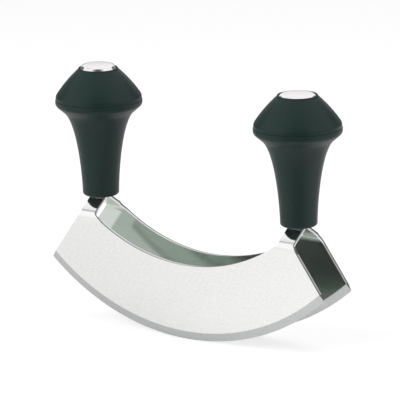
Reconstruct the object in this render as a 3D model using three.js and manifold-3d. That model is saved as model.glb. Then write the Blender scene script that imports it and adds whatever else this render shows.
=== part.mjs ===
// A double-bladed rocking knife: two curved steel blades riveted to two forked studs, and on each
// stud a knob handle of two mouldings, closed by a steel cap. Millimetres, +Z up. The cutting
// edges rest on z = 0, the blades run along X, and the front blade lies at -Y.
import * as THREE from 'three';
import { mergeVertices } from 'three/addons/utils/BufferGeometryUtils.js';
import Module from 'manifold-3d';

const wasm = await Module();
wasm.setup();

// Gap left between pieces that touch, and how far a cutter runs past what it cuts
const clearance = 0.3;
const overrun = 1;

// Blades
const bladeLength = 160;
const edgeRadius = 121.4; // curve of the cutting edge
const sheetThickness = 1.8;
const bladeSpread = 24.8; // over both outer faces
const backHeight = 36.8; // lowest point of the hollow back
const tabFoot = 54.8; // where a tab leaves the blade's outline
const bendHeight = 56.9; // where the bend ends and the leaning tab runs straight
const grindWidth = 4;
const edgeThickness = 0.3;
const faceBendRadius = 5.2; // inside the bend from a blade's face to its tab
const tangBendRadius = 0.8; // inside the bend from a tab to its tang
const roofAngle = THREE.MathUtils.degToRad(33.8); // rise of the leaning tabs
const handleInset = 21.8; // from a blade's end to the handle's axis
const tabWidth = 8.3;
const neckRadius = 1; // fillet between the hollow back and a tab
const tangWidth = 6.4; // narrower than the tab, whose shoulders carry the handle
const tangHeight = 14;
const tangCornerRadius = 1.5;

// Studs and rivets
const forkCheek = 1.5; // each side of the fork that straddles the tangs
const forkWidth = 6.4;
const forkCornerRadius = 1.5;
const forkCrotch = 3; // solid part between the fork's slot and the rod
const studRadius = 2.5;
const rivetRadius = 1.5;
const rivetHeadRadius = 2.3;
const rivetHeadDepth = 0.7;
const rivetPitch = 6.4;
const threadEnd = 1.5; // stud above its nut
const washerRadius = 5;
const washerThickness = 1;
const nutWidth = 8; // across flats
const nutHeight = 4;

// Handle stems
const footSink = 0.4; // how far the foot reaches down past the shoulders of the tabs
const stemHeight = 47.6; // from the foot to the crease round the widest place
const stemFootRadius = 8.9;
const footRounding = 1.5;
const flareRadius = 17.2;
const flareHeight = 41.6;
const bandHeight = 2.5;
const bandRounding = 2.4;
const knobRadius = 21.2;
const registerRadius = 14; // spigot that centres the dome on the stem
const registerHeight = 2.5;

// Domes and caps
const domeHeight = 14.9;
const shoulderHeight = 1.9; // upright side of the dome, up to the corner where its cone begins
const shoulderRounding = 3.1;
const coneBulge = 0.5; // of the cone over a straight line
const lipHeight = 0.7;
const lipWall = 0.3;
const lipSlope = 0.4; // how far the lip leans in towards its top
const capRadius = 8.9;
const capShoulderRadius = 8.05;
const capShoulderDrop = 0.35;
const capTopRadius = 7.45;
const capSink = 0.8; // cap below the top of its lip
const capStands = { left: 1.6, right: 0.5 }; // caps above the tops of their lips, as pressed in
const capSkirtWall = 0.8;
const capSkirtDepth = 2.5;
const pocketDepth = 10;
const pocketRoom = 1.8; // round the nut's corners

// Curve controls, as shares of the radius and height that the curve covers
const stemLowShares = { out: 0.02, up: 0.25 };
const stemHighShares = { out: 0.27, up: 0.87 };

// How finely round stretches are cut
const edgeTurnSteps = 280;
const backSteps = 36;
const bendSteps = 7;
const cornerSteps = 4;
const curveSteps = 11;
const coneSteps = 6;
const handleSides = 40;
const capSides = 40;
const studSides = 20;

// Places worked out from the sizes above
const bladeFace = bladeSpread / 2;
const handleSpacing = bladeLength - 2 * handleInset;
const tangInner = clearance / 2;
const tangOuter = tangInner + sheetThickness;
const forkInner = tangOuter + clearance;
const forkOuter = forkInner + forkCheek;
const faceBendOuter = faceBendRadius + sheetThickness;
const tangBendOuter = tangBendRadius + sheetThickness;
const bendTurn = Math.PI / 2 - roofAngle;
const tabOuter = handleSpacing / 2 + tabWidth / 2;
const tabInner = handleSpacing / 2 - tabWidth / 2;
const lowBend = {
  y: -bladeFace + faceBendOuter,
  z: bendHeight - faceBendOuter * Math.sin(bendTurn),
};
const roofStart = lowBend.y - faceBendOuter * Math.cos(bendTurn);
const roofEnd = -tangOuter - tangBendRadius + tangBendRadius * Math.cos(bendTurn);
const roofTop = bendHeight + (roofEnd - roofStart) * Math.tan(roofAngle);
const highBend = {
  y: -tangOuter - tangBendRadius,
  z: roofTop + tangBendRadius * Math.sin(bendTurn),
};
const tangTop = highBend.z + tangHeight;
const tangMiddle = tangTop - tangHeight / 2;
const rivetHeights = [tangMiddle - rivetPitch / 2, tangMiddle + rivetPitch / 2];
const forkFoot = highBend.z + clearance;
const forkTop = tangTop + clearance + forkCrotch;
const handleFoot = highBend.z - footSink;
const saddleTop = highBend.z + clearance;
const roofUnderFoot = Math.max(roofTop - handleFoot, 0) / Math.tan(roofAngle);
const saddleDepth = -roofEnd + roofUnderFoot + clearance / Math.sin(roofAngle);
const creaseHeight = handleFoot + stemHeight;
const coneTop = creaseHeight + domeHeight;
const lipRadius = capRadius + clearance + lipWall;
const lipTop = coneTop + lipHeight;
const capSeat = lipTop - capSink;
const boreRadius = studRadius + clearance;
const nutCornerRadius = nutWidth / 2 / Math.cos(Math.PI / 6);
const pocketRadius = nutCornerRadius + pocketRoom;
const pocketFloor = capSeat - pocketDepth;
const washerFoot = pocketFloor + clearance;
const nutFoot = washerFoot + washerThickness + clearance;
const studTop = nutFoot + nutHeight + threadEnd;

// Colours and finishes
const bladeSteel = new THREE.MeshStandardMaterial({ color: 0xd9dad8, roughness: 0.3, metalness: 1 });
const capSteel = new THREE.MeshStandardMaterial({ color: 0xe9e6e6, roughness: 0.15, metalness: 1 });
const fastenerSteel = new THREE.MeshStandardMaterial({ color: 0xb4b6b8, roughness: 0.4, metalness: 1 });
const handlePlastic = new THREE.MeshStandardMaterial({ color: 0x2b3533, roughness: 0.55, metalness: 0 });

// Points along an arc, both ends included
function arcPoints(centreX, centreY, radius, fromAngle, toAngle, steps) {
  return Array.from({ length: steps + 1 }, (_, i) => {
    const angle = fromAngle + ((toAngle - fromAngle) * i) / steps;
    return new THREE.Vector2(centreX + radius * Math.cos(angle), centreY + radius * Math.sin(angle));
  });
}

// Points along a curve from start to end, whose two controls are shares of the way out and up
function curvePoints(start, end, lowShares, highShares) {
  const control = (shares) =>
    new THREE.Vector2(start.x + (end.x - start.x) * shares.out, start.y + (end.y - start.y) * shares.up);
  const curve = new THREE.CubicBezierCurve(start, control(lowShares), control(highShares), end);
  return curve.getPoints(curveSteps);
}

// Points along an arc that rounds a profile's corner, touching the lines to both its neighbours
function roundedCorner(before, corner, after, radius, steps) {
  const inward = before.clone().sub(corner).normalize();
  const onward = after.clone().sub(corner).normalize();
  const half = Math.acos(inward.dot(onward)) / 2;
  const bisector = inward.clone().add(onward).normalize();
  const centre = corner.clone().addScaledVector(bisector, radius / Math.sin(half));
  const reach = radius / Math.tan(half);
  const fromAngle = corner.clone().addScaledVector(inward, reach).sub(centre).angle();
  const toAngle = corner.clone().addScaledVector(onward, reach).sub(centre).angle();
  const turn = THREE.MathUtils.euclideanModulo(toAngle - fromAngle + Math.PI, 2 * Math.PI) - Math.PI;
  return arcPoints(centre.x, centre.y, radius, fromAngle, fromAngle + turn, steps);
}

function flatCopy(points) {
  return points.map((point) => new THREE.Vector2(-point.x, point.y));
}

// A three.js geometry as a solid that can be cut, and back again
function solidOf(geometry) {
  const bare = geometry.clone();
  bare.deleteAttribute('normal');
  bare.deleteAttribute('uv');
  const merged = mergeVertices(bare);
  return new wasm.Manifold(
    new wasm.Mesh({
      numProp: 3,
      vertProperties: new Float32Array(merged.attributes.position.array),
      triVerts: new Uint32Array(merged.index.array),
    }),
  );
}

function geometryOf(solid) {
  const mesh = solid.getMesh();
  const geometry = new THREE.BufferGeometry();
  geometry.setAttribute('position', new THREE.BufferAttribute(new Float32Array(mesh.vertProperties), 3));
  geometry.setIndex(new THREE.BufferAttribute(new Uint32Array(mesh.triVerts), 1));
  geometry.computeVertexNormals();
  return geometry;
}

// A profile of radius and height turned about the vertical axis
function turned(profile, sides) {
  const closed = profile[0].x === 0 ? profile : [...profile, profile[0]];
  return new THREE.LatheGeometry(closed, sides).rotateX(Math.PI / 2);
}

// An outline drawn in X and Z, extruded from one Y to another
function extrudedAlongY(outline, fromY, toY) {
  const geometry = new THREE.ExtrudeGeometry(outline, { depth: toY - fromY, bevelEnabled: false });
  return geometry.rotateX(Math.PI / 2).translate(0, toY, 0);
}

// An outline drawn in Y and Z, extruded across the given width about X = 0
function extrudedAlongX(outline, width) {
  const geometry = new THREE.ExtrudeGeometry(outline, { depth: width, bevelEnabled: false });
  const turn = new THREE.Matrix4().makeBasis(
    new THREE.Vector3(0, 1, 0),
    new THREE.Vector3(0, 0, 1),
    new THREE.Vector3(1, 0, 0),
  );
  return geometry.applyMatrix4(turn).translate(-width / 2, 0, 0);
}

// Blade: the sheet's section across the blade, from the edge up through both bends to the tang
function sheetSection() {
  const up = Math.PI;
  const bent = Math.PI - bendTurn;
  return new THREE.Shape([
    new THREE.Vector2(-bladeFace, -overrun),
    ...arcPoints(lowBend.y, lowBend.z, faceBendOuter, up, bent, bendSteps),
    ...arcPoints(highBend.y, highBend.z, tangBendRadius, -bendTurn, 0, bendSteps),
    new THREE.Vector2(-tangOuter, tangTop + overrun),
    new THREE.Vector2(-tangInner, tangTop + overrun),
    ...arcPoints(highBend.y, highBend.z, tangBendOuter, 0, -bendTurn, bendSteps),
    ...arcPoints(lowBend.y, lowBend.z, faceBendRadius, bent, up, bendSteps),
    new THREE.Vector2(-bladeFace + sheetThickness, -overrun),
  ]);
}

// The cutting edge is faceted so that its middle facet lies flat on z = 0
const edgeStep = (2 * Math.PI) / edgeTurnSteps;
const edgeCentre = edgeRadius * Math.cos(edgeStep / 2);

// Blade: the outline seen from the front, right half from the middle of the edge to the back
function halfOutline() {
  const endAngle = Math.asin(bladeLength / 2 / edgeRadius);
  const facets = Math.floor(endAngle / edgeStep - 0.5);
  const edge = arcPoints(
    0,
    edgeCentre,
    edgeRadius,
    -Math.PI / 2 + edgeStep / 2,
    -Math.PI / 2 + edgeStep / 2 + facets * edgeStep,
    facets,
  );
  const backRise = tabFoot - backHeight;
  const backRadius = (tabInner ** 2 + backRise ** 2) / (2 * backRise);
  const backCentre = backHeight + backRadius;
  const neckX = tabInner - neckRadius;
  const neckZ = backCentre - Math.sqrt((backRadius - neckRadius) ** 2 - neckX ** 2);
  const neckAngle = Math.atan2(neckZ - backCentre, neckX);
  const corner = tangCornerRadius;
  const tangLeft = handleSpacing / 2 - tangWidth / 2;
  const tangRight = handleSpacing / 2 + tangWidth / 2;
  return [
    ...edge,
    new THREE.Vector2(bladeLength / 2, edgeCentre - edgeRadius * Math.cos(endAngle)),
    new THREE.Vector2(tabOuter, tabFoot),
    new THREE.Vector2(tabOuter, highBend.z),
    new THREE.Vector2(tangRight, highBend.z),
    ...arcPoints(tangRight - corner, tangTop - corner, corner, 0, Math.PI / 2, cornerSteps),
    ...arcPoints(tangLeft + corner, tangTop - corner, corner, Math.PI / 2, Math.PI, cornerSteps),
    new THREE.Vector2(tangLeft, highBend.z),
    new THREE.Vector2(tabInner, highBend.z),
    ...arcPoints(neckX, neckZ, neckRadius, 0, neckAngle, cornerSteps),
    ...arcPoints(0, backCentre, backRadius, neckAngle, -Math.PI / 2, backSteps / 2).slice(1),
  ];
}

// Blade: what a grinding wheel takes from the outer face along the edge, as a ring about Y
function grindCutter(faceY, inward) {
  const depth = (sheetThickness - edgeThickness) / 2;
  const slope = depth / grindWidth;
  const inner = edgeRadius - grindWidth - overrun;
  const outer = edgeRadius + overrun;
  const ring = [
    new THREE.Vector2(inner, faceY - inward * slope * overrun),
    new THREE.Vector2(outer, faceY + inward * slope * (grindWidth + overrun)),
    new THREE.Vector2(outer, faceY - inward * overrun),
  ];
  const upward = inward > 0 ? ring.reverse() : ring;
  const geometry = new THREE.LatheGeometry([...upward, upward[0]], edgeTurnSteps, edgeStep / 2);
  return solidOf(geometry.translate(0, 0, edgeCentre));
}

// Rivet: a pin with countersunk heads flush with the fork's cheeks, grown by a gap for its hole
function rivetGeometry(grown, past) {
  const profile = [
    new THREE.Vector2(0, -forkOuter - past),
    new THREE.Vector2(rivetHeadRadius + grown, -forkOuter - past),
    new THREE.Vector2(rivetHeadRadius + grown, -forkOuter),
    new THREE.Vector2(rivetRadius + grown, -forkOuter + rivetHeadDepth),
    new THREE.Vector2(rivetRadius + grown, forkOuter - rivetHeadDepth),
    new THREE.Vector2(rivetHeadRadius + grown, forkOuter),
    new THREE.Vector2(rivetHeadRadius + grown, forkOuter + past),
    new THREE.Vector2(0, forkOuter + past),
  ];
  const distinct = profile.filter((point, i) => i === 0 || !point.equals(profile[i - 1]));
  return new THREE.LatheGeometry(distinct, studSides);
}

function bladeGeometry() {
  const half = halfOutline();
  const outline = new THREE.Shape([...flatCopy(half).reverse(), ...half.slice(0, -1)]);
  let blade = solidOf(extrudedAlongX(sheetSection(), bladeLength + 2 * overrun));
  blade = blade.intersect(solidOf(extrudedAlongY(outline, -bladeFace - overrun, 0)));
  blade = blade.subtract(grindCutter(-bladeFace, 1));
  blade = blade.subtract(grindCutter(-bladeFace + sheetThickness, -1));
  for (const side of [-1, 1]) {
    for (const height of rivetHeights) {
      const hole = rivetGeometry(clearance, overrun).translate((side * handleSpacing) / 2, 0, height);
      blade = blade.subtract(solidOf(hole));
    }
  }
  return geometryOf(blade);
}

// An upright block centred on the handle's axis
function block(halfWidth, halfDepth, bottom, top) {
  const box = new THREE.BoxGeometry(2 * halfWidth, 2 * halfDepth, top - bottom);
  return solidOf(box.translate(0, 0, (bottom + top) / 2));
}

// Stud: a round rod whose foot is a fork, drilled for the rivets, that straddles both tangs
function studGeometry() {
  const corner = forkCornerRadius;
  const half = forkWidth / 2;
  const outline = new THREE.Shape([
    ...arcPoints(-half + corner, forkFoot + corner, corner, Math.PI, (3 * Math.PI) / 2, cornerSteps),
    ...arcPoints(half - corner, forkFoot + corner, corner, (3 * Math.PI) / 2, 2 * Math.PI, cornerSteps),
    new THREE.Vector2(half, forkTop),
    new THREE.Vector2(-half, forkTop),
  ]);
  const threadChamfer = studRadius / 4;
  const rod = turned(
    [
      new THREE.Vector2(0, forkTop - overrun),
      new THREE.Vector2(studRadius, forkTop - overrun),
      new THREE.Vector2(studRadius, studTop - threadChamfer),
      new THREE.Vector2(studRadius - threadChamfer, studTop),
      new THREE.Vector2(0, studTop),
    ],
    studSides,
  );
  const slot = block(half + overrun, forkInner, forkFoot - overrun, tangTop + clearance);
  let stud = solidOf(extrudedAlongY(outline, -forkOuter, forkOuter)).subtract(slot).add(solidOf(rod));
  for (const height of rivetHeights) {
    const hole = rivetGeometry(clearance, overrun).translate(0, 0, height);
    stud = stud.subtract(solidOf(hole));
  }
  return geometryOf(stud);
}

// Washer: a flat ring round the stud
function washerGeometry() {
  const top = washerFoot + washerThickness;
  return turned(
    [
      new THREE.Vector2(boreRadius, washerFoot),
      new THREE.Vector2(washerRadius, washerFoot),
      new THREE.Vector2(washerRadius, top),
      new THREE.Vector2(boreRadius, top),
    ],
    studSides,
  );
}

// Nut: a hexagon with a round bore
function nutGeometry() {
  const hexagon = new THREE.Shape(arcPoints(0, 0, nutCornerRadius, 0, (5 * Math.PI) / 3, 5));
  hexagon.holes.push(new THREE.Path(arcPoints(0, 0, boreRadius, 0, -2 * Math.PI, studSides).slice(1)));
  const nut = new THREE.ExtrudeGeometry(hexagon, { depth: nutHeight, bevelEnabled: false });
  return nut.translate(0, 0, nutFoot);
}

// Stem: the slim lower moulding, from its rounded foot, which is hollowed where it sits on the
// shoulders of the tabs, up the flare to the crease and spigot
function stemGeometry() {
  const start = new THREE.Vector2(stemFootRadius, handleFoot + footRounding);
  const flare = new THREE.Vector2(flareRadius, handleFoot + flareHeight);
  const round = footRounding;
  const bandFoot = new THREE.Vector2(knobRadius, creaseHeight - bandHeight);
  const crease = new THREE.Vector2(knobRadius, creaseHeight);
  const body = solidOf(
    turned(
      [
        new THREE.Vector2(0, handleFoot),
        ...arcPoints(stemFootRadius - round, handleFoot + round, round, -Math.PI / 2, 0, cornerSteps),
        ...curvePoints(start, flare, stemLowShares, stemHighShares).slice(1),
        ...roundedCorner(flare, bandFoot, crease, bandRounding, cornerSteps),
        crease,
        new THREE.Vector2(registerRadius, creaseHeight),
        new THREE.Vector2(registerRadius, creaseHeight + registerHeight),
        new THREE.Vector2(0, creaseHeight + registerHeight),
      ],
      handleSides,
    ),
  );
  const bore = turned(
    [
      new THREE.Vector2(0, handleFoot),
      new THREE.Vector2(boreRadius, handleFoot),
      new THREE.Vector2(boreRadius, creaseHeight + registerHeight + overrun),
      new THREE.Vector2(0, creaseHeight + registerHeight + overrun),
    ],
    studSides,
  );
  const saddle = block(tabWidth / 2 + clearance, saddleDepth, handleFoot - overrun, saddleTop);
  const slotHalfWidth = Math.max(tangWidth, forkWidth) / 2 + clearance;
  const slot = block(slotHalfWidth, forkOuter + clearance, handleFoot - overrun, forkTop + clearance);
  return geometryOf(body.subtract(saddle).subtract(slot).subtract(solidOf(bore)));
}

// Dome: the conical upper moulding, with the nut's pocket, the cap's seat and a low lip round it
function domeGeometry() {
  const foot = new THREE.Vector2(knobRadius, creaseHeight + clearance);
  const shoulder = new THREE.Vector2(knobRadius, creaseHeight + shoulderHeight);
  const coneEnd = new THREE.Vector2(lipRadius + lipSlope, coneTop);
  const line = coneEnd.clone().sub(shoulder);
  const outward = new THREE.Vector2(line.y, -line.x).normalize();
  const control = shoulder.clone().addScaledVector(line, 1 / 2).addScaledVector(outward, 2 * coneBulge);
  const corner = roundedCorner(foot, shoulder, control, shoulderRounding, cornerSteps);
  const cone = new THREE.QuadraticBezierCurve(corner.at(-1), control, coneEnd);
  const recessRadius = registerRadius + clearance;
  const recessTop = creaseHeight + registerHeight + clearance;
  return turned(
    [
      new THREE.Vector2(recessRadius, foot.y),
      foot,
      ...corner,
      ...cone.getPoints(coneSteps).slice(1),
      new THREE.Vector2(lipRadius, lipTop),
      new THREE.Vector2(capRadius + clearance, lipTop),
      new THREE.Vector2(capRadius + clearance, capSeat),
      new THREE.Vector2(pocketRadius, capSeat),
      new THREE.Vector2(pocketRadius, pocketFloor),
      new THREE.Vector2(boreRadius, pocketFloor),
      new THREE.Vector2(boreRadius, recessTop),
      new THREE.Vector2(recessRadius, recessTop),
    ],
    handleSides,
  );
}

// Cap: a turned steel disc with a skirt pressed into the nut's pocket
function capGeometry(stand) {
  const foot = capSeat + clearance;
  const capTop = lipTop + stand;
  const skirtOuter = pocketRadius - clearance;
  const skirtInner = skirtOuter - capSkirtWall;
  const skirtFoot = foot - capSkirtDepth;
  return turned(
    [
      new THREE.Vector2(0, foot),
      new THREE.Vector2(skirtInner, foot),
      new THREE.Vector2(skirtInner, skirtFoot),
      new THREE.Vector2(skirtOuter, skirtFoot),
      new THREE.Vector2(skirtOuter, foot),
      new THREE.Vector2(capRadius, foot),
      new THREE.Vector2(capShoulderRadius, capTop - capShoulderDrop),
      new THREE.Vector2(capTopRadius, capTop),
      new THREE.Vector2(0, capTop),
    ],
    capSides,
  );
}

const knife = new THREE.Group();

function addPiece(parent, name, geometry, material) {
  const mesh = new THREE.Mesh(geometry, material);
  mesh.name = name;
  parent.add(mesh);
  return mesh;
}

const blade = bladeGeometry();
addPiece(knife, 'front_blade', blade, bladeSteel);
addPiece(knife, 'rear_blade', blade, bladeSteel).rotation.z = Math.PI;

for (const [side, x] of [['left', -handleSpacing / 2], ['right', handleSpacing / 2]]) {
  const handle = new THREE.Group();
  handle.position.x = x;
  knife.add(handle);
  addPiece(handle, `${side}_stem`, stemGeometry(), handlePlastic);
  addPiece(handle, `${side}_dome`, domeGeometry(), handlePlastic);
  addPiece(handle, `${side}_cap`, capGeometry(capStands[side]), capSteel);
  addPiece(handle, `${side}_stud`, studGeometry(), fastenerSteel);
  addPiece(handle, `${side}_washer`, washerGeometry(), fastenerSteel);
  addPiece(handle, `${side}_nut`, nutGeometry(), fastenerSteel);
  addPiece(handle, `${side}_lower_rivet`, rivetGeometry(0, 0), fastenerSteel).position.z = rivetHeights[0];
  addPiece(handle, `${side}_upper_rivet`, rivetGeometry(0, 0), fastenerSteel).position.z = rivetHeights[1];
}

export default knife;
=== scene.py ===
import math

import bmesh
import bpy
from mathutils import Matrix, Vector


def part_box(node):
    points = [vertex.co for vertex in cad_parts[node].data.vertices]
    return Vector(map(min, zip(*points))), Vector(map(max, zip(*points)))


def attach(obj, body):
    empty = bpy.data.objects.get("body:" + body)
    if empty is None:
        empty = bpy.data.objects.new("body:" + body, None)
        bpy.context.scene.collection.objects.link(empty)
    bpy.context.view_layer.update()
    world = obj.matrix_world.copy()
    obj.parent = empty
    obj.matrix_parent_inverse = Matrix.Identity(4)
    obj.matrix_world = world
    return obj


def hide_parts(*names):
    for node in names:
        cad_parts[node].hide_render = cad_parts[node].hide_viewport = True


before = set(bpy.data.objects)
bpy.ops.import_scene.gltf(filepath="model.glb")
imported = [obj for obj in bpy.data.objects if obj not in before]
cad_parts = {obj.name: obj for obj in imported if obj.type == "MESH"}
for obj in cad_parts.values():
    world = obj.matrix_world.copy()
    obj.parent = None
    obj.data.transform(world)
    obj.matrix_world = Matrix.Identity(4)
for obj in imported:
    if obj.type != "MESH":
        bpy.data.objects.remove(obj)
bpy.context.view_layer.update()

mm = 0.001  # sizes in the dictionaries below are in millimetres
print("frame loaded:", len(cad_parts), "nodes")


# Camera, at the photograph's viewing angle
cameraView = {
    "azimuth": 35.524,  # degrees round the knife from straight in front of it
    "elevation": 14.239,
    "roll": -1.051,
    "distance": 1900.8,
    "lens": 355.6,
    "sensor": 36.0,
    "targetHeight": 52.207,
    "aimRight": 0.64,  # where the picture's middle lies beside the target
    "aimUp": 13.77,
    "clipEnd": 100000,
}


def placeCamera(view):
    azimuth = math.radians(view["azimuth"])
    elevation = math.radians(view["elevation"])
    roll = math.radians(view["roll"])
    level = Vector((math.cos(azimuth), math.sin(azimuth), 0))
    outward = Vector((math.sin(azimuth), -math.cos(azimuth), 0))
    back = outward * math.cos(elevation) + Vector((0, 0, math.sin(elevation)))
    upright = back.cross(level)
    right = level * math.cos(roll) + upright * math.sin(roll)
    up = upright * math.cos(roll) - level * math.sin(roll)
    aim = Vector((0, 0, view["targetHeight"])) + right * view["aimRight"] + up * view["aimUp"]
    turn = Matrix((right, up, back)).transposed().to_4x4()
    camera = bpy.data.objects.new("camera", bpy.data.cameras.new("camera"))
    camera.data.lens = view["lens"]
    camera.data.sensor_width = view["sensor"]
    camera.data.clip_end = view["clipEnd"] * mm
    camera.matrix_world = Matrix.Translation((aim + back * view["distance"]) * mm) @ turn
    bpy.context.scene.collection.objects.link(camera)
    bpy.context.scene.camera = camera


placeCamera(cameraView)
print("camera placed")


# Materials, all on Object coordinates
noiseLook = {
    "roughness": 0.6,
    "low": 0.3,  # nearly all of the noise lies between these two
    "high": 0.7,
}


def startMaterial(name):
    material = bpy.data.materials.new(name)
    material.use_nodes = True
    return material, material.node_tree.nodes, material.node_tree.links


def addNode(nodes, kind, inputs, **settings):
    node = nodes.new(kind)
    for key, value in settings.items():
        setattr(node, key, value)
    for key, value in inputs.items():
        node.inputs[key].default_value = value
    return node


def feed(links, value, socket):
    # the value is another node's output or a number, which makes a grey where a color is wanted
    if not isinstance(value, (int, float)):
        links.new(value, socket)
    elif socket.type == "RGBA":
        socket.default_value = (value, value, value, 1)
    else:
        socket.default_value = value


def patternOver(nodes, links, linesPerMm, detail):
    place = nodes.new("ShaderNodeTexCoord")
    stretch = addNode(nodes, "ShaderNodeMapping", {"Scale": [lines / mm for lines in linesPerMm]})
    pattern = addNode(nodes, "ShaderNodeTexNoise", {
        "Scale": 1.0,
        "Detail": detail,
        "Roughness": noiseLook["roughness"],
    })
    links.new(place.outputs["Object"], stretch.inputs["Vector"])
    links.new(stretch.outputs["Vector"], pattern.inputs["Vector"])
    return pattern.outputs["Fac"]


def spreadInto(nodes, links, pattern, middle, span, target):
    spread = addNode(nodes, "ShaderNodeMapRange", {
        "From Min": noiseLook["low"],
        "From Max": noiseLook["high"],
        "To Min": middle - span / 2,
        "To Max": middle + span / 2,
    })
    links.new(pattern, spread.inputs["Value"])
    links.new(spread.outputs["Result"], target)


def blendInto(nodes, links, pattern, color, span, target):
    blend = addNode(nodes, "ShaderNodeMix", {}, data_type="RGBA")
    blend.inputs["A"].default_value = (*[part * (1 - span) for part in color], 1)
    blend.inputs["B"].default_value = (*[min(part * (1 + span), 1) for part in color], 1)
    links.new(pattern, blend.inputs["Factor"])
    links.new(blend.outputs["Result"], target)


def raiseBy(nodes, links, pattern, depth, strength, shader):
    relief = addNode(nodes, "ShaderNodeBump", {"Strength": strength, "Distance": depth * mm})
    links.new(pattern, relief.inputs["Height"])
    links.new(relief.outputs["Normal"], shader.inputs["Normal"])


steelGrain = {
    "detail": 3.0,
    "depth": 0.05,  # of the bumps, before each finish takes its share as relief
}
# grain is in lines per millimetre along X, Y and Z
steelLooks = {
    "satinFace": {
        "color": (0.865, 0.865, 0.855), "colorSpan": 0.02, "metal": 1.0,
        "roughness": 0.27, "roughSpan": 0.06, "grain": (0.03, 2.5, 2.5), "relief": 0.018,
    },
    # the inner faces: polished steel whose darker, greener colour is painted shade for the shade between
    # the blades
    "innerFacePaintedShade": {
        "color": (0.65, 0.70, 0.66), "colorSpan": 0.02, "metal": 0.955,
        "roughness": 0.08, "roughSpan": 0.03, "grain": (0.03, 1.6, 1.6), "relief": 0.01,
    },
    "mirrorTab": {
        "color": (0.93, 0.94, 0.93), "colorSpan": 0.01, "metal": 1.0,
        "roughness": 0.06, "roughSpan": 0.02, "grain": (0.05, 1.2, 1.2), "relief": 0.005,
    },
    # the ground strip: its grey is partly the duller ground finish and partly painted shade, standing in
    # for the shaded floor under the blade that it reflects
    "groundStripPaintedShade": {
        "color": (0.56, 0.57, 0.565), "colorSpan": 0.05, "metal": 1.0,
        "roughness": 0.3, "roughSpan": 0.1, "grain": (1.6, 0.6, 0.2), "relief": 0.05,
    },
    # cut edges: the torn zone's near-black is partly its dull fracture and partly painted shade for the
    # dark line along the edge
    "cutTornPaintedShade": {
        "color": (0.13, 0.14, 0.14), "colorSpan": 0.15, "metal": 1.0,
        "roughness": 0.4, "roughSpan": 0.1, "grain": (0.6, 3.0, 0.6), "relief": 0.08,
    },
    "cutShorn": {
        "color": (0.78, 0.78, 0.77), "colorSpan": 0.05, "metal": 1.0,
        "roughness": 0.2, "roughSpan": 0.08, "grain": (0.6, 3.0, 0.6), "relief": 0.03,
    },
    "cutRound": {
        "color": (0.93, 0.93, 0.92), "colorSpan": 0.02, "metal": 1.0,
        "roughness": 0.15, "roughSpan": 0.06, "grain": (0.6, 3.0, 0.6), "relief": 0.02,
    },
    "capSteel": {
        "color": (0.90, 0.87, 0.885), "colorSpan": 0.01, "metal": 1.0,
        "roughness": 0.07, "roughSpan": 0.03, "grain": (2.0, 2.0, 0.5), "relief": 0.005,
    },
    "fastenerSteel": {
        "color": (0.62, 0.63, 0.64), "colorSpan": 0.08, "metal": 1.0,
        "roughness": 0.34, "roughSpan": 0.12, "grain": (1.2, 1.2, 3.0), "relief": 0.06,
    },
}


def makeSteel(name):
    look = steelLooks[name]
    material, nodes, links = startMaterial(name)
    shader = nodes["Principled BSDF"]
    shader.inputs["Metallic"].default_value = look["metal"]
    grain = patternOver(nodes, links, look["grain"], steelGrain["detail"])
    blendInto(nodes, links, grain, look["color"], look["colorSpan"], shader.inputs["Base Color"])
    spreadInto(nodes, links, grain, look["roughness"], look["roughSpan"], shader.inputs["Roughness"])
    raiseBy(nodes, links, grain, steelGrain["depth"], look["relief"], shader)
    return material


plasticLook = {
    "color": (0.0075, 0.0225, 0.0195),
    "colorSpan": 0.4,
    "roughness": 0.39,
    "roughSpan": 0.16,
    "specular": 0.24,
    "grain": (1.4, 1.4, 1.4),
    "grainDetail": 2.0,
    "grainDepth": 0.08,
    "relief": 0.5,
}


def makePlastic(look):
    material, nodes, links = startMaterial("handlePlastic")
    shader = nodes["Principled BSDF"]
    shader.inputs["Specular IOR Level"].default_value = look["specular"]
    grain = patternOver(nodes, links, look["grain"], look["grainDetail"])
    blendInto(nodes, links, grain, look["color"], look["colorSpan"], shader.inputs["Base Color"])
    spreadInto(nodes, links, grain, look["roughness"], look["roughSpan"], shader.inputs["Roughness"])
    raiseBy(nodes, links, grain, look["grainDepth"], look["relief"], shader)
    return material


steels = {name: makeSteel(name) for name in steelLooks}
plastic = makePlastic(plasticLook)
print("materials made:", len(steels) + 1)


def addPiece(name, mesh):
    piece = bpy.data.objects.new(name, mesh)
    bpy.context.scene.collection.objects.link(piece)
    return piece


def settle(piece):
    # turn what the modifiers give into a plain mesh
    evaluated = piece.evaluated_get(bpy.context.evaluated_depsgraph_get())
    mesh = bpy.data.meshes.new_from_object(evaluated)
    piece.modifiers.clear()
    piece.data = mesh
    mesh.name = piece.name


def handOver(piece, nodeName):
    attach(piece, "root")
    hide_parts(nodeName)


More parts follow.
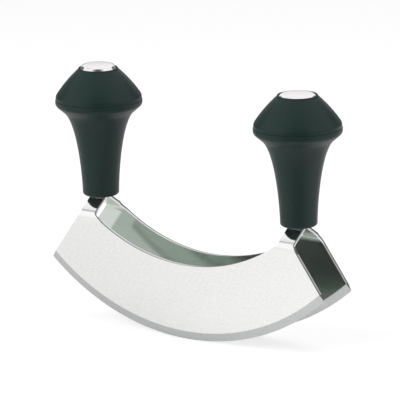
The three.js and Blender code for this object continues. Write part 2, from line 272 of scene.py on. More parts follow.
# Blades: one flat blank each, folded twice at both ends
bladeSizes = {
    "edgeRadius": 121.4,
    "sheet": 1.8,
    "backHeight": 36.8,  # lowest point of the hollow back
    "tabFoot": 54.8,  # where a tab leaves the outline of the blade
    "bendHeight": 56.9,  # where the lower bend ends
    "lowBend": 5.2,  # radius inside the bend from the face to the tab
    "highBend": 0.8,  # and from the tab to the tang
    "roofAngle": 33.8,  # slope of a tab
    "grindWidth": 4.0,
    "tabWidth": 8.3,
    "neckRadius": 1.0,
    "tangWidth": 6.4,
    "tangHeight": 14.0,
    "tangCorner": 1.5,
    "holeRadius": 1.8,
    "holePitch": 6.4,
    "holeSteps": 24,
    "polishFrom": 53.0,  # the satin finish stops here, within the lower bend
    "tornShadeDepth": 0.85,  # a cut edge is painted dark this deep, for its dull torn zone and as painted shade, and bright from there to the inner face
    "outerRounding": 0.5,  # of the cut edges, at the outer face
    "innerRounding": 0.25,
    "roundingSteps": 3,
    "cutAngle": 60,  # a cut edge turns away from the face by more than this
    "grindAngle": 9,  # and the ground strip's outline by more than this
    "edgeSteps": 120,
    "backSteps": 72,
    "cornerSteps": 8,
    "bendSteps": 16,
    "bendSupport": 0.3,  # beyond each bend, to keep its shading off the flat stretches
    "snap": 1e-5,  # a point this close to a bend's line counts as on it
    "weld": 1e-4,  # points this close become one
}
bladeFinishes = ("satinFace", "innerFacePaintedShade", "mirrorTab", "groundStripPaintedShade", "cutTornPaintedShade", "cutShorn", "cutRound")
bladeSlots = {finish: slot for slot, finish in enumerate(bladeFinishes)}


def arc(center, radius, fromAngle, toAngle, steps):
    angles = [fromAngle + (toAngle - fromAngle) * step / steps for step in range(steps + 1)]
    return [(center[0] + radius * math.cos(a), center[1] + radius * math.sin(a)) for a in angles]


def bladeFolds(sizes):
    # where the sheet runs, from the edge up: face, lower bend, leaning tab, upper bend, tang
    low, high = [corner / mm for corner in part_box("front_blade")]
    turn = math.radians(90 - sizes["roofAngle"])
    lowOuter = sizes["lowBend"] + sizes["sheet"]
    lowNeutral = sizes["lowBend"] + sizes["sheet"] / 2
    highNeutral = sizes["highBend"] + sizes["sheet"] / 2
    lowCenter = (low.y + lowOuter, sizes["bendHeight"] - lowOuter * math.sin(turn))
    highCenter = (high.y - sizes["sheet"] - sizes["highBend"], high.z - sizes["tangHeight"])
    roofRise = highCenter[1] - lowCenter[1] - (lowOuter + sizes["highBend"]) * math.sin(turn)
    bendStart = lowCenter[1]
    roofStart = bendStart + lowNeutral * turn
    roofEnd = roofStart + roofRise / math.cos(turn)
    tangStart = roofEnd + highNeutral * turn
    return {
        "faceY": low.y,
        "halfLength": high.x,
        "turn": turn,
        "lowNeutral": lowNeutral,
        "highNeutral": highNeutral,
        "lowOuter": lowOuter,
        "lowCenter": lowCenter,
        "highCenter": highCenter,
        "bendStart": bendStart,
        "roofStart": roofStart,
        "roofEnd": roofEnd,
        "tangStart": tangStart,
        "tangEnd": tangStart + sizes["tangHeight"],
    }


def foldPoint(sizes, folds, x, run, depth):
    # run is the way up the flat sheet, depth the way in from its outer face
    lowRadius = folds["lowOuter"] - depth
    highRadius = sizes["highBend"] + depth
    lowY, lowZ = folds["lowCenter"]
    highY, highZ = folds["highCenter"]
    turn = folds["turn"]
    if run <= folds["bendStart"]:
        return Vector((x, folds["faceY"] + depth, run))
    if run <= folds["roofEnd"]:
        bent = min((run - folds["bendStart"]) / folds["lowNeutral"], turn)
        ahead = max(run - folds["roofStart"], 0)
        y = lowY - lowRadius * math.cos(bent) + ahead * math.sin(turn)
        return Vector((x, y, lowZ + lowRadius * math.sin(bent) + ahead * math.cos(turn)))
    bent = min((run - folds["roofEnd"]) / folds["highNeutral"] - turn, 0)
    ahead = max(run - folds["tangStart"], 0)
    return Vector((x, highY + highRadius * math.cos(bent), highZ + highRadius * math.sin(bent) + ahead))


def unfold(folds, height):
    # the way up the flat sheet to a height on the outer face, within the lower bend
    bent = math.asin((height - folds["bendStart"]) / folds["lowOuter"])
    return folds["bendStart"] + folds["lowNeutral"] * bent


def bladeOutline(sizes, folds, handleX):
    # the right half of the blank above the ground strip, from the grind line to the hollow back
    half = sizes["tabWidth"] / 2
    tabInner = handleX - half
    tabOuter = handleX + half
    endZ = sizes["edgeRadius"] - math.sqrt(sizes["edgeRadius"] ** 2 - folds["halfLength"] ** 2)
    corner = Vector((folds["halfLength"], endZ))
    tabFoot = unfold(folds, sizes["tabFoot"])
    endLine = Vector((tabOuter, tabFoot)) - corner
    grindRadius = sizes["edgeRadius"] - sizes["grindWidth"]
    center = Vector((0, sizes["edgeRadius"]))
    way = endLine.normalized()
    toCorner = corner - center
    along = toCorner.dot(way)
    reach = -along - math.sqrt(along ** 2 - toCorner.length_squared + grindRadius ** 2)
    grindEnd = corner + way * reach
    grindTurn = math.atan2(grindEnd.x, sizes["edgeRadius"] - grindEnd.y)
    endTurn = math.asin(folds["halfLength"] / sizes["edgeRadius"])
    rise = tabFoot - sizes["backHeight"]
    backRadius = (tabInner ** 2 + rise ** 2) / (2 * rise)
    backCenter = (0, sizes["backHeight"] + backRadius)
    neckX = tabInner - sizes["neckRadius"]
    neckZ = backCenter[1] - math.sqrt((backRadius - sizes["neckRadius"]) ** 2 - neckX ** 2)
    neckAngle = math.atan2(neckZ - backCenter[1], neckX)
    tangInner = handleX - sizes["tangWidth"] / 2
    tangOuter = handleX + sizes["tangWidth"] / 2
    tangFoot = folds["tangStart"]
    top = folds["tangEnd"]
    rounding = sizes["tangCorner"]
    steps = sizes["cornerSteps"]
    outline = [
        (tabOuter, tabFoot),
        (tabOuter, tangFoot),
        (tangOuter, tangFoot),
        *arc((tangOuter - rounding, top - rounding), rounding, 0, math.pi / 2, steps),
        *arc((tangInner + rounding, top - rounding), rounding, math.pi / 2, math.pi, steps),
        (tangInner, tangFoot),
        (tabInner, tangFoot),
        *arc((neckX, neckZ), sizes["neckRadius"], 0, neckAngle, steps),
        *arc(backCenter, backRadius, neckAngle, -math.pi / 2, sizes["backSteps"] // 2)[1:],
    ]
    return outline, grindTurn, endTurn


def flatBlank(sizes, folds, handleX):
    # the blank lies flat in the XZ plane, with its rivet holes, and is cut across where it will bend
    outline, grindTurn, endTurn = bladeOutline(sizes, folds, handleX)
    center = (0, sizes["edgeRadius"])
    grindRadius = sizes["edgeRadius"] - sizes["grindWidth"]
    down = -math.pi / 2
    grindLine = arc(center, grindRadius, down - grindTurn, down + grindTurn, sizes["edgeSteps"])
    edgeLine = arc(center, sizes["edgeRadius"], down - endTurn, down + endTurn, sizes["edgeSteps"])
    ring = grindLine + outline + [(-x, z) for x, z in reversed(outline[:-1])]
    blank = bmesh.new()

    def closeRing(points):
        verts = [blank.verts.new((x, 0, z)) for x, z in points]
        return verts, [blank.edges.new((verts[i - 1], verts[i])) for i in range(len(verts))]

    ringVerts, edges = closeRing(ring)
    holeMiddle = (folds["tangStart"] + folds["tangEnd"]) / 2
    for side in (-1, 1):
        for step in (-0.5, 0.5):
            middle = (side * handleX, holeMiddle + step * sizes["holePitch"])
            edges += closeRing(arc(middle, sizes["holeRadius"], 0, math.tau, sizes["holeSteps"])[:-1])[1]
    bmesh.ops.triangle_fill(blank, use_beauty=True, use_dissolve=False, edges=edges, normal=(0, -1, 0))
    levels = []
    bends = ((folds["bendStart"], folds["roofStart"]), (folds["roofEnd"], folds["tangStart"]))
    steps = sizes["bendSteps"]
    for start, end in bends:
        levels += [start + (end - start) * step / steps for step in range(steps + 1)]
        levels += [start - sizes["bendSupport"], end + sizes["bendSupport"]]
    for level in levels:
        bmesh.ops.bisect_plane(
            blank, geom=blank.verts[:] + blank.edges[:] + blank.faces[:], dist=sizes["snap"],
            plane_co=(0, 0, level), plane_no=(0, 0, 1),
        )
    return blank, ringVerts[:len(grindLine)], edgeLine


def foldSheet(sizes, folds, blank, grindVerts, edgeLine):
    # both faces of the sheet, the cut edges between them and the ground strip below them
    sheet = bmesh.new()

    def foldAll(verts, depth):
        return {v: sheet.verts.new(foldPoint(sizes, folds, v.co.x, v.co.z, depth)) for v in verts}

    def addFace(corners, finish):
        face = sheet.faces.new(corners)
        face.material_index = bladeSlots[finish]

    onGrindLine = set(grindVerts)
    cuts = [
        edge for edge in blank.edges
        if len(edge.link_faces) == 1 and not onGrindLine.issuperset(edge.verts)
    ]
    outer = foldAll(blank.verts, 0)
    inner = foldAll(blank.verts, sizes["sheet"])
    tornShade = foldAll(dict.fromkeys(v for edge in cuts for v in edge.verts), sizes["tornShadeDepth"])
    polishFrom = unfold(folds, sizes["polishFrom"])
    for face in blank.faces:
        onTab = face.calc_center_median().z > polishFrom
        corners = list(face.verts)
        if face.normal.y > 0:
            corners.reverse()
        addFace([outer[v] for v in corners], "mirrorTab" if onTab else "satinFace")
        # the inner face takes the darker colour of painted shade
        addFace([inner[v] for v in reversed(corners)], "innerFacePaintedShade")
    for edge in cuts:
        a, b = edge.verts
        # the outer part of each cut edge is painted dark, partly for its torn zone and partly as painted
        # shade
        addFace([outer[a], outer[b], tornShade[b], tornShade[a]], "cutTornPaintedShade")
        addFace([tornShade[a], tornShade[b], inner[b], inner[a]], "cutShorn")
    edgeVerts = [sheet.verts.new((x, folds["faceY"] + sizes["sheet"] / 2, z)) for x, z in edgeLine]
    # the ground strip takes the grey that is partly its finish and partly painted shade
    for i in range(len(edgeLine) - 1):
        left, right = grindVerts[i], grindVerts[i + 1]
        addFace([edgeVerts[i], edgeVerts[i + 1], outer[right], outer[left]], "groundStripPaintedShade")
        addFace([edgeVerts[i + 1], edgeVerts[i], inner[left], inner[right]], "groundStripPaintedShade")
    for i in (0, -1):
        v = grindVerts[i]
        addFace([edgeVerts[i], outer[v], tornShade[v], inner[v]], "cutTornPaintedShade")
    return sheet


def sharpenGroundStrip(sizes, sheet):
    for edge in sheet.edges:
        ground = [face.material_index == bladeSlots["groundStripPaintedShade"] for face in edge.link_faces]
        if any(ground) and edge.calc_face_angle(0) > math.radians(sizes["grindAngle"]):
            edge.smooth = False


def roundCutEdges(sizes, sheet):
    cuts = (bladeSlots["cutTornPaintedShade"], bladeSlots["cutShorn"])
    for finish, rounding in (("cutTornPaintedShade", sizes["outerRounding"]), ("cutShorn", sizes["innerRounding"])):
        rim = [
            edge for edge in sheet.edges
            if edge.calc_face_angle(0) > math.radians(sizes["cutAngle"])
            and sum(face.material_index in cuts for face in edge.link_faces) == 1
            and any(face.material_index == bladeSlots[finish] for face in edge.link_faces)
        ]
        bmesh.ops.bevel(
            sheet, geom=rim, offset=rounding, offset_type="OFFSET", affect="EDGES", profile=0.5,
            segments=sizes["roundingSteps"], clamp_overlap=True, material=bladeSlots["cutRound"],
        )


def bladeMesh(sizes):
    folds = bladeFolds(sizes)
    low, high = [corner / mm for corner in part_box("right_stem")]
    blank, grindVerts, edgeLine = flatBlank(sizes, folds, (low.x + high.x) / 2)
    sheet = foldSheet(sizes, folds, blank, grindVerts, edgeLine)
    blank.free()
    bmesh.ops.remove_doubles(sheet, verts=sheet.verts[:], dist=sizes["weld"])
    bmesh.ops.recalc_face_normals(sheet, faces=sheet.faces[:])
    sharpenGroundStrip(sizes, sheet)
    roundCutEdges(sizes, sheet)
    for face in sheet.faces:
        face.smooth = True
    bmesh.ops.scale(sheet, vec=(mm, mm, mm), verts=sheet.verts[:])
    mesh = bpy.data.meshes.new("blade")
    sheet.to_mesh(mesh)
    sheet.free()
    for finish in bladeFinishes:
        mesh.materials.append(steels[finish])
    return mesh


def makeBlade(name, mesh, nodeName):
    blade = addPiece(name, mesh)
    shading = blade.modifiers.new("shading", "WEIGHTED_NORMAL")
    shading.keep_sharp = True
    settle(blade)
    handOver(blade, nodeName)


frontMesh = bladeMesh(bladeSizes)
rearMesh = frontMesh.copy()
rearMesh.transform(Matrix.Rotation(math.pi, 4, "Z"))
makeBlade("frontBlade", frontMesh, "front_blade")
makeBlade("rearBlade", rearMesh, "rear_blade")
print("blades made:", len(frontMesh.polygons), "faces each")


# Handles: profiles of radius and height, turned about each handle's axis by Geometry Nodes
turningWeld = 0.002  # points this close become one


def turningTree():
    tree = bpy.data.node_groups.new("turning", "GeometryNodeTree")
    face = tree.interface
    face.new_socket(name="Profile", in_out="INPUT", socket_type="NodeSocketGeometry")
    sides = face.new_socket(name="Sides", in_out="INPUT", socket_type="NodeSocketInt")
    axisX = face.new_socket(name="Axis X", in_out="INPUT", socket_type="NodeSocketFloat")
    finish = face.new_socket(name="Finish", in_out="INPUT", socket_type="NodeSocketMaterial")
    face.new_socket(name="Turned", in_out="OUTPUT", socket_type="NodeSocketGeometry")
    nodes, links = tree.nodes, tree.links
    given = nodes.new("NodeGroupInput")
    made = nodes.new("NodeGroupOutput")

    def calculate(operation, *values):
        node = addNode(nodes, "ShaderNodeMath", {}, operation=operation)
        for value, socket in zip(values, node.inputs):
            feed(links, value, socket)
        return node.outputs["Value"]

    # a grid with one column for each side and one row for each point of the profile
    count = nodes.new("GeometryNodeAttributeDomainSize")
    links.new(given.outputs["Profile"], count.inputs["Geometry"])
    points = count.outputs["Point Count"]
    grid = nodes.new("GeometryNodeMeshGrid")
    links.new(calculate("ADD", given.outputs["Sides"], 1), grid.inputs["Vertices X"])
    links.new(points, grid.inputs["Vertices Y"])
    # each of its points looks up its radius and height in the profile
    index = nodes.new("GeometryNodeInputIndex").outputs["Index"]
    sample = addNode(nodes, "GeometryNodeSampleIndex", {}, data_type="FLOAT_VECTOR", domain="POINT")
    links.new(given.outputs["Profile"], sample.inputs["Geometry"])
    links.new(nodes.new("GeometryNodeInputPosition").outputs["Position"], sample.inputs["Value"])
    links.new(calculate("MODULO", index, points), sample.inputs["Index"])
    profile = nodes.new("ShaderNodeSeparateXYZ")
    links.new(sample.outputs["Value"], profile.inputs["Vector"])
    # and goes to its place round the axis
    column = calculate("FLOOR", calculate("DIVIDE", index, points))
    angle = calculate("MULTIPLY", calculate("DIVIDE", column, given.outputs["Sides"]), math.tau)
    across = calculate("MULTIPLY", profile.outputs["X"], calculate("COSINE", angle))
    deep = calculate("MULTIPLY", profile.outputs["X"], calculate("SINE", angle))
    place = nodes.new("ShaderNodeCombineXYZ")
    links.new(calculate("ADD", across, given.outputs["Axis X"]), place.inputs["X"])
    links.new(deep, place.inputs["Y"])
    links.new(profile.outputs["Z"], place.inputs["Z"])
    move = nodes.new("GeometryNodeSetPosition")
    links.new(grid.outputs["Mesh"], move.inputs["Geometry"])
    links.new(place.outputs["Vector"], move.inputs["Position"])
    merge = addNode(nodes, "GeometryNodeMergeByDistance", {"Distance": turningWeld * mm})
    smooth = nodes.new("GeometryNodeSetShadeSmooth")
    realize = nodes.new("GeometryNodeRealizeInstances")
    paint = nodes.new("GeometryNodeSetMaterial")
    links.new(move.outputs["Geometry"], merge.inputs["Geometry"])
    links.new(merge.outputs["Geometry"], smooth.inputs["Geometry"])
    links.new(smooth.outputs["Geometry"], realize.inputs["Geometry"])
    links.new(realize.outputs["Geometry"], paint.inputs["Geometry"])
    links.new(given.outputs["Finish"], paint.inputs["Material"])
    links.new(paint.outputs["Geometry"], made.inputs["Turned"])
    return tree, {"sides": sides.identifier, "axisX": axisX.identifier, "finish": finish.identifier}


turning, turningInputs = turningTree()


def turnPiece(name, profile, axisX, sizes, finish):
    mesh = bpy.data.meshes.new(name)
    places = [(radius * mm, 0, height * mm) for radius, height in profile]
    mesh.from_pydata(places, [(i, i + 1) for i in range(len(places) - 1)], [])
    piece = addPiece(name, mesh)
    maker = piece.modifiers.new("turning", "NODES")
    maker.node_group = turning
    maker[turningInputs["sides"]] = sizes["sides"]
    maker[turningInputs["axisX"]] = axisX * mm
    maker[turningInputs["finish"]] = finish
    settle(piece)
    solid = bmesh.new()
    solid.from_mesh(piece.data)
    bmesh.ops.recalc_face_normals(solid, faces=solid.faces[:])
    solid.to_mesh(piece.data)
    solid.free()
    piece.data.set_sharp_from_angle(angle=math.radians(sizes["sharpAngle"]))
    return piece


def bezier(start, lowShares, highShares, end, steps):
    # both controls are shares of the way out and up from start to end
    span = end - start
    low = Vector((start.x + span.x * lowShares[0], start.y + span.y * lowShares[1]))
    high = Vector((start.x + span.x * highShares[0], start.y + span.y * highShares[1]))
    points = []
    for step in range(steps + 1):
        t = step / steps
        s = 1 - t
        points.append(start * s ** 3 + low * 3 * s * s * t + high * 3 * s * t * t + end * t ** 3)
    return [tuple(point) for point in points]


def bulged(start, control, end, steps):
    shares = [step / steps for step in range(steps + 1)]
    return [tuple(start * (1 - t) ** 2 + control * 2 * t * (1 - t) + end * t * t) for t in shares]


def rounded(before, corner, after, radius, steps):
    # replace a profile's corner by an arc that touches both its sides
    corner = Vector(corner)
    one = (Vector(before) - corner).normalized()
    two = (Vector(after) - corner).normalized()
    half = one.angle(two) / 2
    center = corner + (one + two).normalized() * (radius / math.sin(half))
    reach = radius / math.tan(half)
    start = corner + one * reach - center
    finish = corner + two * reach - center
    turn = start.angle_signed(finish)
    points = []
    for step in range(steps + 1):
        angle = -turn * step / steps
        cosine, sine = math.cos(angle), math.sin(angle)
        swung = Vector((start.x * cosine - start.y * sine, start.x * sine + start.y * cosine))
        points.append(tuple(center + swung))
    return points


stemSizes = {
    "sides": 128,
    "footRadius": 8.9,
    "footRounding": 1.5,
    "footSteps": 10,
    "flareRadius": 17.2,
    "flareHeight": 41.6,  # above the foot
    # the two control points of the flare's curve, as shares of the way out and up
    "lowShares": (0.02, 0.25),
    "highShares": (0.27, 0.87),
    "flareSteps": 40,
    "bandHeight": 2.5,
    "bandRounding": 2.4,
    "bandSteps": 12,
    "solidGap": 0.3,  # between the solids of stem and dome
    "crease": 0.04,  # what the scene leaves of that gap
    "creaseRounding": 0.5,
    "creaseSteps": 6,
    "boreRadius": 2.8,
    "registerRadius": 14.0,  # of the step on top that centres the dome
    "registerHeight": 2.5,
    # width, depth and top of the saddle over the tabs and of the fork's slot
    "hollows": ((8.9, 5.6, 62.6), (7.0, 8.1, 79.9)),
    "cutBelow": 1.0,
    "sharpAngle": 32,
}
creaseFill = (stemSizes["solidGap"] - stemSizes["crease"]) / 2  # what stem and dome each grow by


def stemProfile(sizes, low, high):
    knob = (high.x - low.x) / 2
    foot = low.z
    crease = high.z - sizes["registerHeight"]
    top = crease + creaseFill
    rounding = sizes["footRounding"]
    start = Vector((sizes["footRadius"], foot + rounding))
    flare = Vector((sizes["flareRadius"], foot + sizes["flareHeight"]))
    bandFoot = (knob, crease - sizes["bandHeight"])
    corner = (sizes["footRadius"] - rounding, foot + rounding)
    return [
        (sizes["boreRadius"], foot),
        *arc(corner, rounding, -math.pi / 2, 0, sizes["footSteps"]),
        *bezier(start, sizes["lowShares"], sizes["highShares"], flare, sizes["flareSteps"])[1:],
        *rounded(flare, bandFoot, (knob, top), sizes["bandRounding"], sizes["bandSteps"]),
        *rounded(bandFoot, (knob, top), (0, top), sizes["creaseRounding"], sizes["creaseSteps"]),
        (sizes["registerRadius"], top),
        (sizes["registerRadius"], high.z),
        (sizes["boreRadius"], high.z),
        (sizes["boreRadius"], foot),
    ]


def cutHollows(stem, sizes, axisX, foot):
    for width, depth, top in sizes["hollows"]:
        cutter = bmesh.new()
        bmesh.ops.create_cube(cutter, size=mm)
        bottom = foot - sizes["cutBelow"]
        bmesh.ops.scale(cutter, vec=(width, depth, top - bottom), verts=cutter.verts)
        bmesh.ops.translate(cutter, vec=(axisX * mm, 0, (bottom + top) / 2 * mm), verts=cutter.verts)
        mesh = bpy.data.meshes.new("hollow")
        cutter.to_mesh(mesh)
        cutter.free()
        block = addPiece("hollow", mesh)
        cut = stem.modifiers.new("hollow", "BOOLEAN")
        cut.operation = "DIFFERENCE"
        cut.solver = "EXACT"
        cut.object = block
        settle(stem)
        bpy.data.objects.remove(block)


domeSizes = {
    "sides": 128,
    "footRounding": 0.12,
    "footSteps": 6,
    "step": 0.3,  # how far the dome's foot stands in from the stem's band
    "shoulderHeight": 1.6,  # of the corner where the cone begins
    "shoulderRounding": 3.1,
    "shoulderSteps": 16,
    "coneBulge": 0.5,  # over a straight line
    "coneSteps": 40,
    "coneTop": 0.7,  # below the lip's top
    "lipWall": 0.3,
    "lipSlope": 0.4,  # how much wider the lip is where the cone ends
    "lipRounding": 0.1,
    "lipSteps": 4,
    "capRadius": 9.2,  # of the opening inside the lip, where the cap sits
    "capSink": 0.8,
    "pocketRadius": 6.42,  # of the pocket for the nut, under the cap
    "pocketDepth": 10.0,
    "boreRadius": 2.8,
    "recessRadius": 14.3,  # of the recess over the stem's step
    "recessHeight": 2.5,
    "sharpAngle": 32,
}


def domeProfile(sizes, low, high):
    knob = (high.x - low.x) / 2 - sizes["step"]
    foot = low.z - creaseFill
    lip = sizes["capRadius"] + sizes["lipWall"]
    seat = high.z - sizes["capSink"]
    floor = seat - sizes["pocketDepth"]
    recess = low.z + sizes["recessHeight"]
    rounding = sizes["footRounding"]
    start = Vector((knob, foot + rounding))
    shoulder = Vector((knob, low.z + sizes["shoulderHeight"]))
    cone = Vector((lip + sizes["lipSlope"], high.z - sizes["coneTop"]))
    line = cone - shoulder
    outward = Vector((line.y, -line.x)).normalized()
    control = shoulder + line / 2 + outward * 2 * sizes["coneBulge"]
    corner = rounded(start, shoulder, control, sizes["shoulderRounding"], sizes["shoulderSteps"])
    lipTop = (sizes["capRadius"], high.z)
    return [
        (sizes["recessRadius"], foot),
        *arc((knob - rounding, start.y), rounding, -math.pi / 2, 0, sizes["footSteps"]),
        *corner,
        *bulged(Vector(corner[-1]), control, cone, sizes["coneSteps"])[1:],
        *rounded(cone, (lip, high.z), lipTop, sizes["lipRounding"], sizes["lipSteps"]),
        lipTop,
        (sizes["capRadius"], seat),
        (sizes["pocketRadius"], seat),
        (sizes["pocketRadius"], floor),
        (sizes["boreRadius"], floor),
        (sizes["boreRadius"], recess),
        (sizes["recessRadius"], recess),
        (sizes["recessRadius"], foot),
    ]


capSizes = {
    "sides": 128,
    "rimRadius": 8.9,
    "crown": 0.03,  # fall of the nearly flat top
    "crownSteps": 8,
    "rollWidth": 1.6,  # of the edge that rolls over from the top to the wall
    "rollSteps": 16,
    "wallAngle": 60,  # slope of the wall down to the rim
    "skirtRadius": 6.12,
    "skirtWall": 0.8,
    "skirtDepth": 2.5,
    "sharpAngle": 32,
}


def capProfile(sizes, low, high):
    foot = low.z + sizes["skirtDepth"]
    inner = sizes["skirtRadius"] - sizes["skirtWall"]
    slope = math.radians(sizes["wallAngle"])
    rolling = sizes["rollWidth"] / math.sin(slope)
    rollTop = high.z - sizes["crown"]
    wallRise = rollTop - rolling * (1 - math.cos(slope)) - foot
    flatRadius = sizes["rimRadius"] - wallRise / math.tan(slope) - sizes["rollWidth"]
    crown = []
    for step in range(sizes["crownSteps"]):
        share = step / sizes["crownSteps"]
        crown.append((flatRadius * share, high.z - sizes["crown"] * share ** 2))
    quarter = math.pi / 2
    return [
        *crown,
        *arc((flatRadius, rollTop - rolling), rolling, quarter, quarter - slope, sizes["rollSteps"]),
        (sizes["rimRadius"], foot),
        (sizes["skirtRadius"], foot),
        (sizes["skirtRadius"], low.z),
        (inner, low.z),
        (inner, foot),
        (0, foot),
    ]


def makeHandle(side):
    low, high = [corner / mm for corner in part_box(side + "_stem")]
    axisX = (low.x + high.x) / 2
    stem = turnPiece(side + "Stem", stemProfile(stemSizes, low, high), axisX, stemSizes, plastic)
    cutHollows(stem, stemSizes, axisX, low.z)
    handOver(stem, side + "_stem")
    low, high = [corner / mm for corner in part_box(side + "_dome")]
    dome = turnPiece(side + "Dome", domeProfile(domeSizes, low, high), axisX, domeSizes, plastic)
    handOver(dome, side + "_dome")
    low, high = [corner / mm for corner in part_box(side + "_cap")]
    cap = turnPiece(side + "Cap", capProfile(capSizes, low, high), axisX, capSizes, steels["capSteel"])
    handOver(cap, side + "_cap")


for side in ("left", "right"):
    makeHandle(side)
print("handles made")


# Studs, washers, nuts and rivets keep the shapes they were drawn with
fastenerNames = [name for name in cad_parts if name.endswith(("_stud", "_washer", "_nut", "_rivet"))]
for name in fastenerNames:
    fastener = bpy.data.objects[name]
    fastener.data.materials.clear()
    fastener.data.materials.append(steels["fastenerSteel"])
print("fasteners finished:", len(fastenerNames))


# Floor, backdrop and lamps
studio = {
    "floorSize": 6000,
    "floorColor": 0.8,
    # what the camera sees of the floor is lifted to white, and keeps the knife's shadow
    "seenColor": 0.5,
    "seenGlow": 0.62,
    # the white paper that polished metal and gloss find there, with painted shade and painted light on
    # it
    "paperColor": 0.93,
    "paperGlow": 0.14,
    "shadeSpan": (-170, 60),  # it is shaded left of the first place and fully white right of the second
    "leftShade": 0.84,
    # places on the paper painted darker or lighter: azimuth, distance, the radii at which a place is
    # full and gone, and what it makes of the light
    "places": {
        "front": (35, 480, 230, 360, 0.0),
        "back": (-144, 1150, 500, 780, 0.0),
        "side": (105, 330, 70, 210, 1.3),
        "edge": (134, 274, 30, 120, 0.75),
    },
    "worldSeen": 1.0,  # what the camera and reflections see
    "worldLight": 0.5,  # and what lights the knife
    # dark cards far away, that only polished metal and gloss find:
    # azimuth, elevation, angles at which a card is full and gone, and what it leaves of the light
    "darkCards": {
        "bendCard": (-60, 48, 0, 8, 0.6),
        "tabCard": (-72, 54, 4, 20, 0.85),
        "frontCard": (35, 28, 18, 44, 0.1),
        "backCard": (-144, -40, 46, 54, 0.15),
        "rightBackCard": (167, 12, 12, 25, 0.15),
        "leftBackCard": (-99, 12, 12, 25, 0.15),
    },
    # azimuth and elevation round the knife, distance, size and power in watts
    "lamps": {
        "keyLamp": (-25, 32, 1100, 900, 6.5),
        "fillLamp": (95, 28, 1200, 900, 3.5),
        "topLamp": (180, 75, 1100, 800, 2),
    },
}


def toward(azimuth, elevation):
    turn, rise = math.radians(azimuth), math.radians(elevation)
    return Vector((math.sin(turn) * math.cos(rise), -math.cos(turn) * math.cos(rise), math.sin(rise)))


def faded(nodes, links, value, near, far, first, last):
    # goes from first to last while the value goes from near to far
    fade = addNode(nodes, "ShaderNodeMapRange", {
        "From Min": near,
        "From Max": far,
        "To Min": first,
        "To Max": last,
    }, interpolation_type="SMOOTHSTEP")
    links.new(value, fade.inputs["Value"])
    return fade.outputs["Result"]


def multiplied(nodes, links, value, factor):
    product = addNode(nodes, "ShaderNodeMath", {}, operation="MULTIPLY")
    links.new(value, product.inputs[0])
    feed(links, factor, product.inputs[1])
    return product.outputs["Value"]


def paperPaintedLight(nodes, links, sizes):
    # painted shade and painted light on the paper, from place to place
    place = nodes.new("ShaderNodeTexCoord").outputs["Object"]
    across = nodes.new("ShaderNodeSeparateXYZ")
    links.new(place, across.inputs["Vector"])
    left, right = sizes["shadeSpan"]
    share = faded(nodes, links, across.outputs["X"], left * mm, right * mm, sizes["leftShade"], 1.0)
    for azimuth, distance, full, gone, kept in sizes["places"].values():
        middle = toward(azimuth, 0) * distance * mm
        off = addNode(nodes, "ShaderNodeVectorMath", {1: middle}, operation="DISTANCE")
        links.new(place, off.inputs[0])
        fade = faded(nodes, links, off.outputs["Value"], full * mm, gone * mm, kept, 1.0)
        share = multiplied(nodes, links, fade, share)
    return share


def floorPaper(sizes):
    material, nodes, links = startMaterial("floorPaper")
    nodes.remove(nodes["Principled BSDF"])

    def addGlowing(color, glow):
        matt = nodes.new("ShaderNodeBsdfDiffuse")
        shine = nodes.new("ShaderNodeEmission")
        both = nodes.new("ShaderNodeAddShader")
        feed(links, color, matt.inputs["Color"])
        feed(links, glow, shine.inputs["Strength"])
        links.new(matt.outputs["BSDF"], both.inputs[0])
        links.new(shine.outputs["Emission"], both.inputs[1])
        return both

    seen = addGlowing(sizes["seenColor"], sizes["seenGlow"])
    share = paperPaintedLight(nodes, links, sizes)
    mirrored = addGlowing(
        multiplied(nodes, links, share, sizes["paperColor"]),
        multiplied(nodes, links, share, sizes["paperGlow"]),
    )
    shown = nodes.new("ShaderNodeBsdfDiffuse")
    feed(links, sizes["floorColor"], shown.inputs["Color"])
    rays = nodes.new("ShaderNodeLightPath").outputs
    choices = (("Is Glossy Ray", mirrored), ("Is Transmission Ray", seen), ("Is Camera Ray", seen))
    for ray, shader in choices:
        choose = nodes.new("ShaderNodeMixShader")
        links.new(rays[ray], choose.inputs[0])
        links.new(shown.outputs[0], choose.inputs[1])
        links.new(shader.outputs[0], choose.inputs[2])
        shown = choose
    links.new(shown.outputs[0], nodes["Material Output"].inputs["Surface"])
    return material


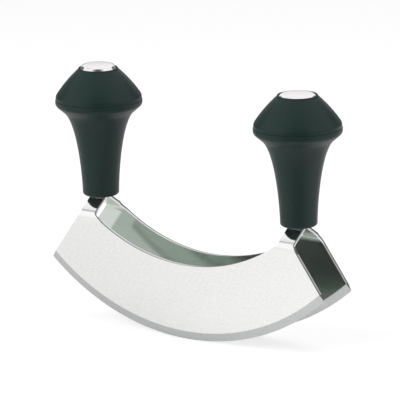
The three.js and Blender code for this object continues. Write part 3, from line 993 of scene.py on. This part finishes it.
def makeFloor(sizes):
    half = sizes["floorSize"] / 2 * mm
    corners = [(-half, -half, 0), (half, -half, 0), (half, half, 0), (-half, half, 0)]
    mesh = bpy.data.meshes.new("floor")
    mesh.from_pydata(corners, [], [(0, 1, 2, 3)])
    mesh.materials.append(floorPaper(sizes))
    floor = addPiece("floor", mesh)


def makeWorld(sizes):
    world = bpy.data.worlds.new("studio")
    world.use_nodes = True
    nodes, links = world.node_tree.nodes, world.node_tree.links
    direction = nodes.new("ShaderNodeTexCoord").outputs["Generated"]
    white = sizes["worldSeen"]
    mirrored = white
    for azimuth, elevation, full, gone, kept in sizes["darkCards"].values():
        middle = toward(azimuth, elevation)
        near = addNode(nodes, "ShaderNodeVectorMath", {1: middle}, operation="DOT_PRODUCT")
        links.new(direction, near.inputs[0])
        rim, heart = math.cos(math.radians(gone)), math.cos(math.radians(full))
        card = faded(nodes, links, near.outputs["Value"], rim, heart, 1.0, kept)
        mirrored = multiplied(nodes, links, card, mirrored)
    strength = sizes["worldLight"]
    rays = nodes.new("ShaderNodeLightPath").outputs
    choices = (("Is Glossy Ray", mirrored), ("Is Transmission Ray", white), ("Is Camera Ray", white))
    for ray, level in choices:
        choose = addNode(nodes, "ShaderNodeMix", {}, data_type="FLOAT")
        links.new(rays[ray], choose.inputs["Factor"])
        feed(links, strength, choose.inputs["A"])
        feed(links, level, choose.inputs["B"])
        strength = choose.outputs["Result"]
    feed(links, 1, nodes["Background"].inputs["Color"])
    links.new(strength, nodes["Background"].inputs["Strength"])
    bpy.context.scene.world = world


def addLamp(name, azimuth, elevation, distance, size, power):
    light = bpy.data.lights.new(name, "AREA")
    light.shape = "DISK"
    light.size = size * mm
    light.energy = power
    away = toward(azimuth, elevation)
    lamp = bpy.data.objects.new(name, light)
    lamp.visible_glossy = False  # reflections find the white room instead
    lamp.location = away * distance * mm + Vector((0, 0, cameraView["targetHeight"] * mm))
    lamp.rotation_euler = away.to_track_quat("Z", "Y").to_euler()
    bpy.context.scene.collection.objects.link(lamp)


makeFloor(studio)
makeWorld(studio)
for name, values in studio["lamps"].items():
    addLamp(name, *values)
bpy.context.scene.view_settings.view_transform = "Standard"
print("studio made")
